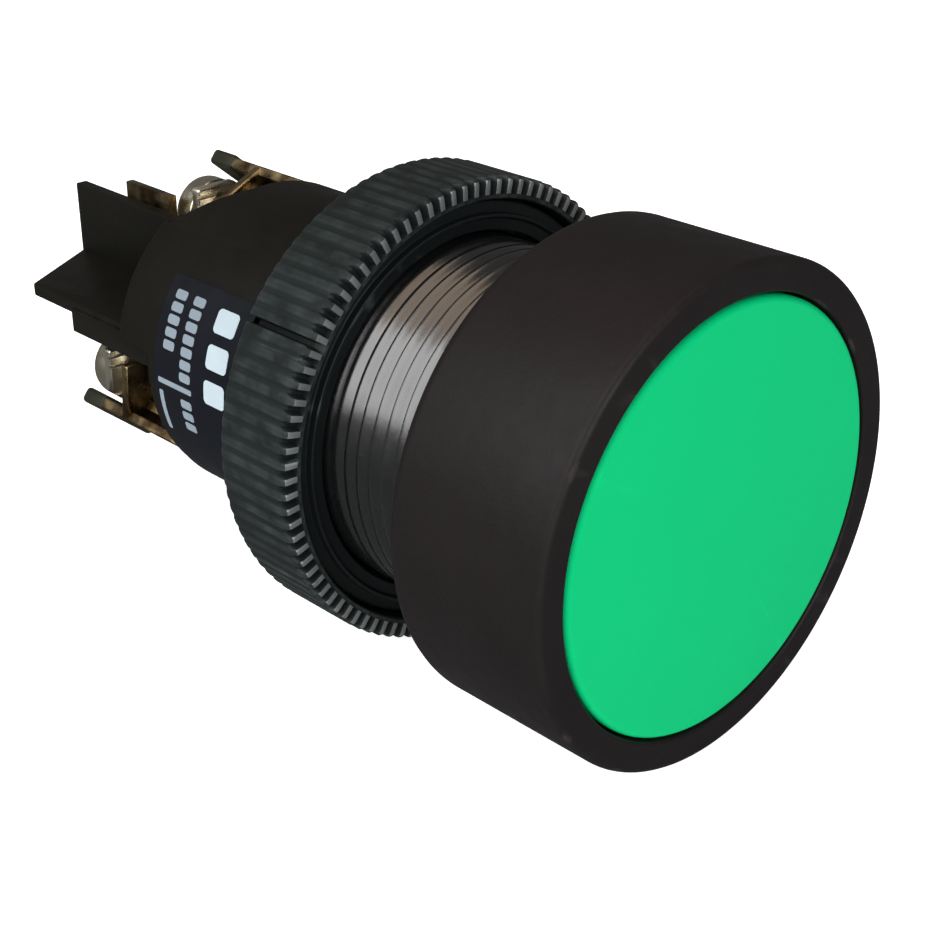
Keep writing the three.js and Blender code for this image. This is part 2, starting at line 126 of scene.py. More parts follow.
class Shader:
    """A material being built round a Principled surface."""

    def __init__(self, name):
        self.material = bpy.data.materials.new(name)
        self.material.use_nodes = True
        self.tree = self.material.node_tree
        self.surface = self.tree.nodes["Principled BSDF"]
        self.place = self.add("TexCoord").outputs["Object"]

    def add(self, kind, inputs=None, **settings):
        """A node with these settings. Each input is a value, or another node's output to join to it."""
        node = self.tree.nodes.new("ShaderNode" + kind)
        for name, value in settings.items():
            setattr(node, name, value)
        for socket, value in (inputs or {}).items():
            self.set(node, socket, value)
        return node

    def set(self, node, socket, value):
        if isinstance(value, bpy.types.NodeSocket):
            self.tree.links.new(value, node.inputs[socket])
        else:
            node.inputs[socket].default_value = value

    def finish(self, **inputs):
        """Sets the surface's own sockets, with underscores for spaces in their names."""
        for socket, value in inputs.items():
            self.set(self.surface, socket.replace("_", " "), value)
        return self.material

    def noise(self, size, detail=2.0, stretch=(1, 1, 1)):
        """Cloudy noise with features of about that size in millimetres, stretched along the axes."""
        mapping = self.add("Mapping", {"Vector": self.place, "Scale": [1 / s for s in stretch]})
        inputs = {"Vector": mapping.outputs["Vector"], "Scale": 1 / (size * MM), "Detail": detail}
        return self.add("TexNoise", inputs).outputs["Fac"]

    def remap(self, value, low, high, to_low=0.0, to_high=1.0):
        names = ("Value", "From Min", "From Max", "To Min", "To Max")
        inputs = dict(zip(names, (value, low, high, to_low, to_high)))
        return self.add("MapRange", inputs).outputs["Result"]

    def blend(self, factor, first, second):
        """One colour fading into another."""
        node = self.add("Mix", data_type="RGBA")
        for index, value in ((0, factor), (6, first), (7, second)):
            self.set(node, index, value)
        return node.outputs[2]

    def multiply(self, first, second):
        return self.add("Math", {0: first, 1: second}, operation="MULTIPLY").outputs[0]

    def bump(self, height, depth, normal=None):
        """A bump of that depth in millimetres, on top of another one."""
        inputs = {"Height": height, "Distance": depth * MM, "Strength": 1.0}
        if normal:
            inputs["Normal"] = normal
        return self.add("Bump", inputs).outputs["Normal"]

    def edges(self, low=0.52, high=0.62):
        """1 on outer edges, fading to 0 on flat surfaces."""
        return self.remap(self.add("NewGeometry").outputs["Pointiness"], low, high)


def tone(colour, factor):
    return [min(1.0, channel * factor) for channel in colour[:3]] + [1.0]


def moulded(name, colour, roughness, grain, grain_depth, edge_wear_and_sheen=1.6, specular=0.5, patchy=0.25, coat=0.0):
    """Moulded plastic: fine spark-eroded grain, faint flow clouds, and edges made lighter: a slight lift is rubbed
    wear, a strong lift is a painted edge highlight.
    """
    shader = Shader(name)
    clouds = shader.noise(7.0, 3.0)
    smudges = shader.noise(1.6, 4.0)
    fine = shader.noise(grain, 3.0)
    base = shader.blend(clouds, tone(colour, 1 - patchy), tone(colour, 1 + patchy))
    # edge mask: rubbed wear, and a painted edge highlight where the lift is strong
    edge_wear_and_sheen_mask = shader.multiply(shader.edges(), shader.remap(smudges, 0.35, 0.7))
    return shader.finish(
        Base_Color=shader.blend(edge_wear_and_sheen_mask, base, tone(colour, edge_wear_and_sheen)),
        Roughness=shader.remap(smudges, 0.3, 0.7, roughness - 0.06, roughness + 0.06),
        Specular_IOR_Level=specular,
        Coat_Weight=coat,
        Coat_Roughness=0.2,
        Normal=shader.bump(shader.noise(grain * 5, 2.0), grain_depth * 1.5, shader.bump(fine, grain_depth)),
    )


def metal(name, colour, dull, roughness, brushed=(1, 1, 1), tarnish=(0.45, 0.75)):
    """Sheet or wire: bright metal with brushing, pits, and tarnish that gathers in clouds."""
    shader = Shader(name)
    stain = shader.remap(shader.noise(1.8, 6.0), *tarnish)
    brushing = shader.noise(0.12, 3.0, brushed)
    pits = shader.noise(0.5, 5.0)
    return shader.finish(
        Base_Color=shader.blend(stain, tone(colour, 1), tone(dull, 1)),
        Metallic=1.0,
        Roughness=shader.remap(shader.noise(1.1, 4.0), 0.3, 0.7, roughness - 0.06, roughness + 0.14),
        Normal=shader.bump(brushing, 0.006, shader.bump(pits, 0.012)),
    )


BRASS = (0.40, 0.30, 0.16)
BRASS_DULL = (0.10, 0.062, 0.03)

# bezel: the strong edge lift paints a highlight along its front edge
bezel_plastic = moulded("bezel_plastic", (0.0095, 0.0077, 0.0081), 0.46, 0.16, 0.012, edge_wear_and_sheen=3.0, specular=0.13)
cap_plastic = moulded("cap_plastic", (0.0013, 0.372, 0.131), 0.42, 0.12, 0.003, 1.2, 0.02, 0.025)
neck_plastic = moulded("neck_plastic", (0.0045, 0.005, 0.0055), 0.24, 0.3, 0.004, specular=1.0, coat=0.7)
# nut: the strong edge lift paints highlights on its edges
nut_plastic = moulded("nut_plastic", (0.009, 0.0118, 0.0118), 0.42, 0.14, 0.008, edge_wear_and_sheen=6.0, specular=0.15)
# painted highlight: light grey tooth faces stand in for the glints on the nut's teeth
tooth_painted_highlight = moulded("tooth_painted_highlight", (0.078, 0.086, 0.086), 0.35, 0.14, 0.01, edge_wear_and_sheen=2.5, specular=1.0, patchy=0.5)
# washer: the strong edge lift paints thin highlight lines on its edges and lip
washer_plastic = moulded("washer_plastic", (0.007, 0.009, 0.0095), 0.4, 0.14, 0.006, edge_wear_and_sheen=6.0, specular=0.16)
housing_plastic = moulded("housing_plastic", (0.0062, 0.0060, 0.0048), 0.42, 0.2, 0.008, specular=0.09)
nylon = moulded("nylon", (0.66, 0.64, 0.58), 0.45, 0.25, 0.006, edge_wear_and_sheen=1.1, patchy=0.05)
rubber = moulded("rubber", (0.012, 0.012, 0.012), 0.75, 0.1, 0.01, edge_wear_and_sheen=1.3)
label_film = moulded("label_film", (0.0052, 0.0063, 0.0092), 0.4, 0.6, 0.002, edge_wear_and_sheen=1.2, specular=0.1)
label_print = moulded("label_print", (0.175, 0.22, 0.26), 0.5, 0.1, 0.003, edge_wear_and_sheen=1.0, specular=0.2, patchy=0.3)
label_ink = moulded("label_ink", (0.37, 0.45, 0.5), 0.5, 0.1, 0.003, edge_wear_and_sheen=1.0, specular=0.2, patchy=0.3)
brass = metal("brass", BRASS, BRASS_DULL, 0.26, (1, 12, 1), tarnish=(0.4, 0.62))
washer_metal = metal("washer_metal", (0.86, 0.81, 0.68), (0.42, 0.34, 0.22), 0.3, tarnish=(0.52, 0.8))
# dark moulded colour for the block round each leg's end
dark_leg_end = moulded("dark_leg_end", (0.0135, 0.0145, 0.0085), 0.5, 0.3, 0.03, edge_wear_and_sheen=2.0, specular=0.2)
screw_metal = metal("screw_metal", (0.80, 0.74, 0.58), (0.35, 0.27, 0.16), 0.2, tarnish=(0.55, 0.85))
silver = metal("silver", (0.84, 0.84, 0.82), (0.5, 0.49, 0.46), 0.18)
spring_steel = metal("spring_steel", (0.62, 0.63, 0.65), (0.34, 0.34, 0.35), 0.22)

# ---------------------------------------------------------------- shape helpers


def corners_of(node):
    """Lowest and highest corner of a CAD node, in millimetres."""
    low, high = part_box(node)
    return low / MM, high / MM


def fillet(outline, steps=4):
    """The points of a closed outline with its corners rounded by arcs."""
    points = []
    count = len(outline)
    for index, (x, y, *rounding) in enumerate(outline):
        corner = Vector((x, y))
        if not rounding:
            points.append(corner)
            continue
        before = (Vector(outline[index - 1][:2]) - corner).normalized()
        after = (Vector(outline[(index + 1) % count][:2]) - corner).normalized()
        half = before.angle(after) / 2
        centre = corner + (before + after).normalized() * (rounding[0] / math.sin(half))
        reach = rounding[0] / math.tan(half)
        start = corner + before * reach - centre
        end = corner + after * reach - centre
        for step in range(steps + 1):
            direction = start.lerp(end, step / steps).normalized()
            points.append(centre + direction * rounding[0])
    return [(point.x, point.y) for point in points]


def circle(radius, steps, centre=(0, 0)):
    angles = [2 * math.pi * step / steps for step in range(steps)]
    return [(centre[0] + radius * math.cos(a), centre[1] + radius * math.sin(a)) for a in angles]


def mesh_piece(name, bm, material, smooth_angle=30):
    """A Blender object from a mesh in millimetres, with its creases kept sharp."""
    bmesh.ops.remove_doubles(bm, verts=bm.verts, dist=2e-4)
    bmesh.ops.dissolve_degenerate(bm, edges=bm.edges, dist=1e-4)
    bmesh.ops.recalc_face_normals(bm, faces=bm.faces)
    bmesh.ops.scale(bm, vec=(MM, MM, MM), verts=bm.verts)
    mesh = bpy.data.meshes.new(name)
    bm.to_mesh(mesh)
    bm.free()
    piece = bpy.data.objects.new(name, mesh)
    bpy.context.scene.collection.objects.link(piece)
    mesh.materials.append(material)
    shade(piece, smooth_angle)
    return piece


def shade(piece, smooth_angle=30):
    for polygon in piece.data.polygons:
        polygon.use_smooth = True
    piece.data.set_sharp_from_angle(angle=math.radians(smooth_angle))


def revolve(name, profile, segments, material):
    """Turns a closed profile of (radius, y) points about Y. A profile may be a function of the angle."""
    bm = bmesh.new()
    columns = []
    for step in range(segments + 1):
        angle = 2 * math.pi * step / segments
        points = profile(angle) if callable(profile) else profile
        place = (math.cos(angle), math.sin(angle))
        columns.append([bm.verts.new((r * place[0], y, r * place[1])) for r, y in points])
    for first, second in zip(columns, columns[1:]):
        for row in range(len(first)):
            bm.faces.new((first[row - 1], first[row], second[row], second[row - 1]))
    return mesh_piece(name, bm, material)


def slab(name, outline, low, high, material, axis="Y", rounding=0.12):
    """An outline extruded along an axis, with its edges rounded. The outline is (x, z), or (x, y) for axis Z."""
    bm = bmesh.new()
    lift = {"Y": lambda u, v: (u, low, v), "Z": lambda u, v: (u, v, low)}[axis]
    face = bm.faces.new([bm.verts.new(lift(u, v)) for u, v in fillet(outline)])
    grown = bmesh.ops.extrude_face_region(bm, geom=[face])["geom"]
    along = (high - low) * Vector({"Y": (0, 1, 0), "Z": (0, 0, 1)}[axis])
    bmesh.ops.translate(bm, vec=along, verts=[v for v in grown if isinstance(v, bmesh.types.BMVert)])
    bmesh.ops.recalc_face_normals(bm, faces=bm.faces)
    if rounding:
        rims = [edge for edge in bm.edges if edge.calc_face_angle() > math.radians(35)]
        bmesh.ops.bevel(bm, geom=rims, offset=rounding, segments=3, profile=0.5, affect="EDGES")
    return mesh_piece(name, bm, material)


def block(name, x, y, z, material, rounding=0.12):
    """A box with rounded edges between pairs of x, y and z."""
    outline = [(x[0], z[0]), (x[1], z[0]), (x[1], z[1]), (x[0], z[1])]
    return slab(name, outline, y[0], y[1], material, rounding=rounding)


def turn(piece, degrees):
    """Turns a piece about Y, so that what lay along +X lies at that angle."""
    piece.data.transform(Matrix.Rotation(-math.radians(degrees), 4, "Y"))
    return piece


def shift(piece, x, z):
    piece.data.transform(Matrix.Translation((x * MM, 0, z * MM)))
    return piece


def settle(piece):
    """Turns a piece's modifiers into its mesh."""
    bpy.context.view_layer.update()
    graph = bpy.context.evaluated_depsgraph_get()
    mesh = bpy.data.meshes.new_from_object(piece.evaluated_get(graph))
    piece.modifiers.clear()
    piece.data = mesh
    return piece


def combine(base, operation, tools):
    """Joins tools to a piece (UNION) or cuts them out of it (DIFFERENCE)."""
    for tool in tools:
        modifier = base.modifiers.new("combine", "BOOLEAN")
        modifier.operation = operation
        modifier.solver = "EXACT"
        modifier.object = tool
    settle(base)
    for tool in tools:
        bpy.data.objects.remove(tool)
    shade(base)
    return base


def tube(name, points, radius, material):
    """A round wire through points in millimetres."""
    curve = bpy.data.curves.new(name, "CURVE")
    curve.dimensions = "3D"
    curve.bevel_depth = radius * MM
    curve.bevel_resolution = 4
    curve.use_fill_caps = True
    spline = curve.splines.new("POLY")
    spline.points.add(len(points) - 1)
    for target, point in zip(spline.points, points):
        target.co = (point[0] * MM, point[1] * MM, point[2] * MM, 1)
    wire = bpy.data.objects.new(name, curve)
    bpy.context.scene.collection.objects.link(wire)
    bpy.context.view_layer.update()
    mesh = bpy.data.meshes.new_from_object(wire.evaluated_get(bpy.context.evaluated_depsgraph_get()))
    bpy.data.objects.remove(wire)
    piece = bpy.data.objects.new(name, mesh)
    bpy.context.scene.collection.objects.link(piece)
    mesh.materials.clear()
    mesh.materials.append(material)
    shade(piece, 60)
    return piece


def stands_for(piece, node):
    """The piece takes the place of a CAD node, on the same body."""
    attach(piece, BODY_OF[node])
    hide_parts(node)
    return piece


def thread_rows(angle, start, end, radius, depth):
    """(radius, y) points of a right-hand thread's side from start to end, at one angle round the axis."""
    first = math.floor(start / THREAD_PITCH) - 1
    last = math.ceil(end / THREAD_PITCH) + 2
    points = []
    for turn_number in range(first, last):
        for place, height in THREAD_FORM:
            y = THREAD_PITCH * (turn_number + place + 1 - angle / (2 * math.pi))
            run_out = min(1.0, max(0.0, min(y - start, end - y) / (0.4 * THREAD_PITCH)))
            points.append((radius - depth * (1 - height) * run_out, min(max(y, start), end)))
    return points


# ---------------------------------------------------------------- operator side


def make_bezel():
    low, high = corners_of("bezel")
    groove_inner, groove_outer, groove_depth = GASKET_GROOVE
    profile = fillet(
        [
            (BEZEL_BORE, low.y, 0.22),
            (high.x, low.y, 0.42),
            (high.x, high.y, 0.9),
            (groove_outer, high.y),
            (groove_outer, high.y - groove_depth),
            (groove_inner, high.y - groove_depth),
            (groove_inner, high.y),
            (NECK_HOLE, high.y, 0.15),
            (NECK_HOLE, high.y - BEZEL_WEB, 0.15),
            (BEZEL_BORE, high.y - BEZEL_WEB, 0.3),
        ],
        steps=6,
    )
    stands_for(revolve("bezel_moulding", profile, 256, bezel_plastic), "bezel")


def make_gasket():
    low, high = corners_of("panel_gasket")
    inner = GASKET_GROOVE[0] + 0.1
    rounding = 0.2
    outline = [(inner, low.y), (high.x, low.y), (high.x, high.y), (inner, high.y)]
    profile = fillet([(r, y, rounding) for r, y in outline])
    stands_for(revolve("gasket_ring", profile, 128, rubber), "panel_gasket")


def make_cap():
    low, high = corners_of("button_cap")
    profile = fillet(
        [
            (0, low.y),
            (high.x, low.y, 0.4),
            (high.x, high.y, 0.15),
            (CAP_SKIRT, high.y, 0.15),
            (CAP_SKIRT, low.y + CAP_THICKNESS, 0.4),
            (0, low.y + CAP_THICKNESS),
        ],
        steps=6,
    )
    stands_for(revolve("cap_moulding", profile, 256, cap_plastic), "button_cap")


# ---------------------------------------------------------------- threaded neck and fixing


def make_neck():
    low, high = corners_of("threaded_neck")
    flange_back = low.y + 1.3
    web_front, web_back, web_hole = NECK_WEB
    chamfer = 0.5
    inside = [
        (NECK_RADIUS - chamfer, high.y),
        (NECK_BORE + 0.2, high.y),
        (NECK_BORE, high.y - 0.2),
        (NECK_BORE, web_back),
        (web_hole, web_back),
        (web_hole, web_front),
        (NECK_BORE, web_front),
        (NECK_BORE, low.y + 0.3),
        (NECK_BORE + 0.3, low.y),
        (high.x - 0.15, low.y),
        (high.x, low.y + 0.15),
        (high.x, flange_back),
        (NECK_RADIUS, flange_back),
    ]

    def profile(angle):
        rows = thread_rows(angle, flange_back + 0.1, high.y - 0.05, NECK_RADIUS, THREAD_DEPTH)
        ends = [(min(r, NECK_RADIUS - chamfer + (high.y - y)), y) for r, y in rows]
        return ends + inside

    neck = revolve("neck_thread", profile, 192, neck_plastic)
    angle, half_width, depth, start = KEYWAY
    keyway = block(
        "keyway",
        (NECK_RADIUS - depth, NECK_RADIUS + 1),
        (start, high.y + 1),
        (-half_width, half_width),
        neck_plastic,
        rounding=0,
    )
    combine(neck, "DIFFERENCE", [turn(keyway, angle)])
    stands_for(neck, "threaded_neck")


def make_nut():
    low, high = corners_of("ring_nut")
    front, back, radius = low.y, high.y, high.x
    recess, recess_depth = NUT_RECESS
    slot_angle, slot_half_width, slot_depth = NUT_SLOT
    thread_front, thread_back = front + recess_depth, back

    def groove(angle):
        """0 on a rib's top and 1 in the groove beside it."""
        phase = (angle * NUT_RIBS / (2 * math.pi)) % 1.0
        return min(1.0, max(0.0, (abs(2 * phase - 1) - 0.35) / 0.45))

    def slotted(angle):
        degrees = (math.degrees(angle) - slot_angle + 90) % 180 - 90
        return abs(math.radians(degrees)) * radius < slot_half_width

    def profile(angle):
        dip = groove(angle)
        outer = radius - (slot_depth if slotted(angle) else NUT_RIB_DEPTH * dip)
        tooth = front + (slot_depth if slotted(angle) else NUT_TOOTH_DEPTH * dip)
        root = recess + NUT_LIP
        outline = [
            (recess, front + 0.1),
            (recess + 0.08, front + 0.02),
            (root - 0.04, front + 0.02),
            (root, max(tooth, front + 0.02)),
            (outer - 0.3, tooth),
            (outer - 0.14, tooth + 0.06),
            (outer, tooth + 0.25),
            (outer, back - 0.35),
            (outer - 0.1, back - 0.1),
            (outer - 0.35, back),
            (radius - 0.7, back),
            (NUT_BORE + 0.7, back),
            (NUT_BORE + 0.4, back),
        ]
        bore = thread_rows(angle, thread_front, thread_back, NUT_BORE, THREAD_DEPTH)
        floor = [(NUT_BORE + 0.3, thread_front), (recess - 0.2, thread_front), (recess, thread_front - 0.2)]
        return outline + bore[::-1] + floor

    nut = revolve("nut_ribbed", profile, NUT_RIBS * 10, nut_plastic)
    # painted highlight: tooth faces near the front, outside the lip, get the light grey material
    nut.data.materials.append(tooth_painted_highlight)
    for polygon in nut.data.polygons:
        x, y, z = polygon.center
        if y < (front + NUT_TOOTH_HIGHLIGHT_DEPTH) * MM and math.hypot(x, z) > (recess + NUT_LIP) * MM:
            polygon.material_index = 1
    stands_for(nut, "ring_nut")


def make_washer():
    low, high = corners_of("thrust_washer")
    inner, step, rim_drop = 11.2, 12.2, 0.5
    outline = [
        (inner, low.y + 0.25, 0.08),
        (step - 0.3, low.y + 0.25, 0.1),
        (step - 0.2, low.y, 0.08),
        (step, low.y, 0.08),
        (step, low.y + rim_drop, 0.1),
        (high.x, low.y + rim_drop, 0.1),
        (high.x, high.y, 0.1),
        (inner, high.y, 0.1),
    ]
    washer = revolve("washer_ring", fillet(outline), 192, washer_plastic)
    key = block("key", (10.5, inner + 0.5), (low.y + 0.25, high.y), (-0.8, 0.8), washer_plastic)
    combine(washer, "UNION", [turn(key, KEYWAY[0])])
    stands_for(washer, "thrust_washer")


# ---------------------------------------------------------------- plunger and springs


def make_plunger():
    low, high = corners_of("plunger")
    head_back = low.y + 1.5
    tube_end = 6.6
    step = 13.0
    profile = fillet(
        [
            (0, low.y),
            (high.x, low.y, 0.3),
            (high.x, head_back, 0.3),
            (8.0, head_back, 0.2),
            (8.0, -2.6, 0.1),
            (7.2, -2.6, 0.1),
            (7.2, -0.8, 0.1),
            (8.0, -0.8, 0.1),
            (8.0, tube_end, 0.3),
            (5.4, tube_end, 0.3),
            (5.4, head_back, 0.2),
            (1.9, head_back, 0.3),
            (1.9, step, 0.15),
            (1.1, step),
            (1.1, 17.85),
            (0.85, 17.85),
            (0.85, 18.35),
            (1.1, 18.35),
            (1.1, high.y, 0.3),
            (0, high.y),
        ]
    )
    stands_for(revolve("plunger_moulding", profile, 96, nylon), "plunger")


def make_seal():
    low, high = corners_of("plunger_seal")
    inner = 7.35
    outline = [(inner, low.y), (high.x, low.y), (high.x, high.y), (inner, high.y)]
    seal = revolve("seal_ring", fillet([(r, y, 0.38) for r, y in outline], steps=6), 96, rubber)
    stands_for(seal, "plunger_seal")


def coil(name, node, wire, turns):
    """A compression spring with a closed turn at each end, inside its CAD node's box."""
    low, high = corners_of(node)
    radius = high.x - wire
    front = low.y + wire
    back = high.y - wire
    closed = 2.2 * wire
    steps = 28
    points = []
    for step in range(turns * steps + 1):
        turned = step / steps
        if turned < 1:
            y = front + closed * turned
        elif turned > turns - 1:
            y = back - closed * (turns - turned)
        else:
            y = front + closed + (back - front - 2 * closed) * (turned - 1) / (turns - 2)
        angle = -2 * math.pi * turned
        points.append((radius * math.cos(angle), y, radius * math.sin(angle)))
    return tube(name, points, wire, spring_steel)


def make_springs():
    return_spring = coil("return_coil", "return_spring", 0.35, 7)
    stands_for(return_spring, "return_spring")
    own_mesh(return_spring)
    bridge_spring = coil("bridge_coil", "bridge_spring", 0.2, 6)
    stands_for(bridge_spring, "bridge_spring")
    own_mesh(bridge_spring)


def make_clip():
    low, high = corners_of("stem_clip")
    disc = slab("clip_plate", circle(2.2, 48), low.y, high.y, spring_steel, rounding=0.06)
    hole = slab("hole", circle(0.95, 32), low.y - 1, high.y + 1, spring_steel, rounding=0)
    mouth = block("mouth", (0, 3.2), (low.y - 1, high.y + 1), (-0.7, 0.7), spring_steel, rounding=0)
    combine(disc, "DIFFERENCE", [hole, mouth])
    stands_for(disc, "stem_clip")


# ---------------------------------------------------------------- contacts


def make_bridge():
    low, high = corners_of("contact_bridge")
    half_length, half_width = 6.4, 2.0
    outline = [
        (half_length, -half_width, 0.8),
        (half_length, half_width, 0.8),
        (-half_length, half_width, 0.8),
        (-half_length, -half_width, 0.8),
    ]
    bar = slab("bridge_bar", outline, low.y, high.y, brass, rounding=0.1)
    hole = slab("hole", circle(1.3, 32), low.y - 1, high.y + 1, brass, rounding=0)
    combine(bar, "DIFFERENCE", [hole])
    stands_for(turn(bar, TERMINAL_ANGLE), "contact_bridge")


def make_tip(name, node, domed_front, end_turn):
    """A round contact rivet head, domed on the side that touches."""
    low, high = corners_of(node)
    seat, face = (high.y, low.y) if domed_front else (low.y, high.y)
    inward = 0.35 if domed_front else -0.35
    profile = fillet([(0, seat), (1.3, seat), (1.3, face + inward, 0.2), (0.5, face + inward * 0.2), (0, face)])
    tip = shift(revolve(name, profile, 48, silver), 5.2, 0)
    stands_for(turn(tip, TERMINAL_ANGLE + end_turn), node)


# ---------------------------------------------------------------- terminals


def on_terminal_line(out, side):
    """A point at a distance along the terminals' line and a distance to its side, as (x, z)."""
    angle = math.radians(TERMINAL_ANGLE)
    return (
        out * math.cos(angle) - side * math.sin(angle),
        out * math.sin(angle) + side * math.cos(angle),
    )


SCREW_PLACE = on_terminal_line(SCREW_AT, 0)


def make_plate(end, end_turn):
    """One bent brass sheet: contact arm, strap, wire seat, outer leg and the flange by the upright arm."""
    inner, outer, half_width, start, tail = LEG
    strap_inner, strap_outer, strap_half = STRAP
    arm_front, arm_reach = CONTACT_ARM
    sheet = SEAT[1] - SEAT[0]
    near, far, top, flange_end = FLANGE
    leg_outline = [
        (inner, start, 0.1),
        (outer, start, 0.1),
        (outer, tail, 0.3),
        (inner, tail, 0.3),
    ]
    leg = slab("plate_" + end, leg_outline, -half_width, half_width, brass, axis="Z", rounding=0.1)
    strap = block(
        "strap", (strap_inner, strap_outer), (arm_front, SEAT[1]), (-strap_half, strap_half), brass, 0.1
    )
    arm = block(
        "arm", (arm_reach, strap_outer), (arm_front, arm_front + sheet), (-strap_half, strap_half), brass, 0.1
    )
    seat_outline = [
        (near, SEAT_EDGE),
        (SEAT_SIDE, SEAT_EDGE),
        on_terminal_line(outer - 0.1, -half_width),
        on_terminal_line(outer - 0.1, half_width),
        (near, SEAT_TOP),
    ]
    seat = slab("seat", seat_outline, SEAT[0], SEAT[1], brass, rounding=0.1)
    flange_outline = [
        (near, SEAT[0]),
        (far, SEAT[0]),
        (far, flange_end),
        (near, flange_end),
    ]
    flange = slab("flange", flange_outline, SEAT_EDGE, top, brass, axis="Z", rounding=0.1)
    for part in (leg, strap, arm):
        turn(part, TERMINAL_ANGLE)
    combine(leg, "UNION", [strap, arm, seat, flange])
    hole = slab("hole", circle(SCREW_HOLE, 32, SCREW_PLACE), SEAT[0] - 1, SEAT[1] + 1, brass, rounding=0)
    notch_front, notch_back, notch_bottom = FLANGE_NOTCH
    notch_outline = [
        (near - 1, notch_front),
        (far + 1, notch_front),
        (far + 1, notch_back),
        (near - 1, notch_back),
    ]
    notch = slab("notch", notch_outline, notch_bottom, top + 1, brass, axis="Z", rounding=0)
    combine(leg, "DIFFERENCE", [hole, notch])
    stands_for(turn(leg, end_turn), "terminal_plate_" + end)
    tip_inner, tip_outer, tip_start, tip_half = LEG_TIP
    tip = block(
        "leg_tip_" + end,
        (tip_inner, tip_outer),
        (tip_start, tail + 0.1),
        (-tip_half, tip_half),
        dark_leg_end,
        0.3,
    )
    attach(turn(tip, TERMINAL_ANGLE + end_turn), BODY_OF["terminal_plate_" + end])


def make_clamp(end, end_turn):
    """A square pressing washer with three teeth across its underside."""
    low, high = corners_of("clamp_washer_upper")
    outline = [(1.75, 2.5, 0.2), (6.6, 2.5, 0.2), (6.6, 5.7, 0.2), (4.95, 7.1, 0.2), (1.75, 7.1, 0.2)]
    washer = slab("clamp_" + end, outline, low.y, high.y, washer_metal, rounding=0.12)
    hole = slab("hole", circle(SCREW_HOLE, 32, SCREW_PLACE), low.y - 1, high.y + 1, washer_metal, rounding=0)
    grooves = [
        block("groove", (1, 7.5), (low.y - 1, low.y + 0.2), (z - 0.15, z + 0.15), washer_metal, rounding=0)
        for z in (3.0, 3.7, 5.8, 6.5)
    ]
    combine(washer, "DIFFERENCE", [hole, *grooves])
    stands_for(turn(washer, end_turn), "clamp_washer_" + end)


def make_screw(end, end_turn):
    """A pan head with a cross recess, on a threaded shank."""
    low, high = corners_of("terminal_screw_upper")
    head_front = high.y - 2.1
    head = 2.4
    pitch, depth = 0.5, 0.22
    tip = low.y

    def profile(angle):
        rows = []
        for number in range(int((head_front - tip) / pitch) + 3):
            for place, height in ((0.0, 0.0), (0.45, 1.0), (0.55, 1.0)):
                y = tip + pitch * (number + place - angle / (2 * math.pi))
                run_out = min(1.0, max(0.0, min(y - tip, head_front - 0.4 - y) / 0.3))
                taper = min(0.45, max(0.0, 0.45 - (y - tip)))
                rows.append((SCREW_SHANK - taper - depth * (1 - height) * run_out, min(max(y, tip), head_front)))
        return [(0, tip)] + rows + crown

    crown = fillet(
        [
            (SCREW_SHANK, head_front),
            (head, head_front, 0.12),
            (head, high.y, 0.85),
            (0, high.y),
        ],
        steps=6,
    )[:-1] + [(0, high.y)]
    screw = revolve("screw_" + end, profile, 48, screw_metal)
    slots = [
        block("slot", x, (high.y - 1.0, high.y + 1), z, screw_metal, rounding=0)
        for x, z in (((-1.4, 1.4), (-0.3, 0.3)), ((-0.3, 0.3), (-1.4, 1.4)))
    ]
    combine(screw, "DIFFERENCE", slots)
    shift(screw, *SCREW_PLACE)
    stands_for(turn(screw, end_turn), "terminal_screw_" + end)


# ---------------------------------------------------------------- housing, label and barrier


def make_housing():
    low, high = corners_of("contact_housing")
    spigot, spigot_bore = SPIGOT
    profile = fillet(
        [
            (spigot_bore, low.y),
            (spigot, low.y, 0.3),
            (spigot, HOUSING_SHOULDER),
            (high.x, HOUSING_SHOULDER, 0.35),
            (high.x, high.y, 0.3),
            (HOUSING_BORE, high.y, 0.2),
            (HOUSING_BORE, HOUSING_SHOULDER + 1.3, 0.3),
            (spigot_bore, HOUSING_SHOULDER + 1.3, 0.2),
        ]
    )
    housing = revolve("housing_shell", profile, 192, housing_plastic)
    cutters = []
    slope, rise = WINDOW_SLOPE
    for start, stop in WINDOWS:
        outline = [
            (start, WINDOW_START, 0.3),
            (stop - slope, WINDOW_START, 2.0),
            (stop, WINDOW_START + rise, 0.5),
            (stop, high.y + 1),
            (start, high.y + 1),
        ]
        cutters.append(wrapped("window", [outline], 7, 5, housing_plastic, arc=(start, stop)))
    combine(housing, "DIFFERENCE", cutters)
    stands_for(housing, "contact_housing")


def wrapped(name, outlines, radius, thickness, material, arc=(130, 280)):
    """Flat outlines of (degrees, y), wrapped onto an arc of a cylinder and given a thickness."""
    bm = bmesh.new()
    for outline in outlines:
        flat = [(math.radians(degrees) * radius, y, *rounding) for degrees, y, *rounding in outline]
        bm.faces.new([bm.verts.new((u, v, 0)) for u, v in fillet(flat)])
    for degrees in range(arc[0] + 3, arc[1], 3):
        everything = list(bm.verts) + list(bm.edges) + list(bm.faces)
        place = (math.radians(degrees) * radius, 0, 0)
        bmesh.ops.bisect_plane(bm, geom=everything, plane_co=place, plane_no=(1, 0, 0))
    bmesh.ops.recalc_face_normals(bm, faces=bm.faces)
    grown = bmesh.ops.extrude_face_region(bm, geom=list(bm.faces), use_keep_orig=True)["geom"]
    outside = {v for v in grown if isinstance(v, bmesh.types.BMVert)}
    for vertex in bm.verts:
        angle = vertex.co.x / radius
        reach = radius + (thickness if vertex in outside else 0)
        vertex.co = (reach * math.cos(angle), vertex.co.y, reach * math.sin(angle))
    return mesh_piece(name, bm, material)


def bar(start, stop, low, high, rounding=0.25):
    """A rounded rectangle between two angles and two y values."""
    return [(start, low, rounding), (stop, low, rounding), (stop, high, rounding), (start, high, rounding)]


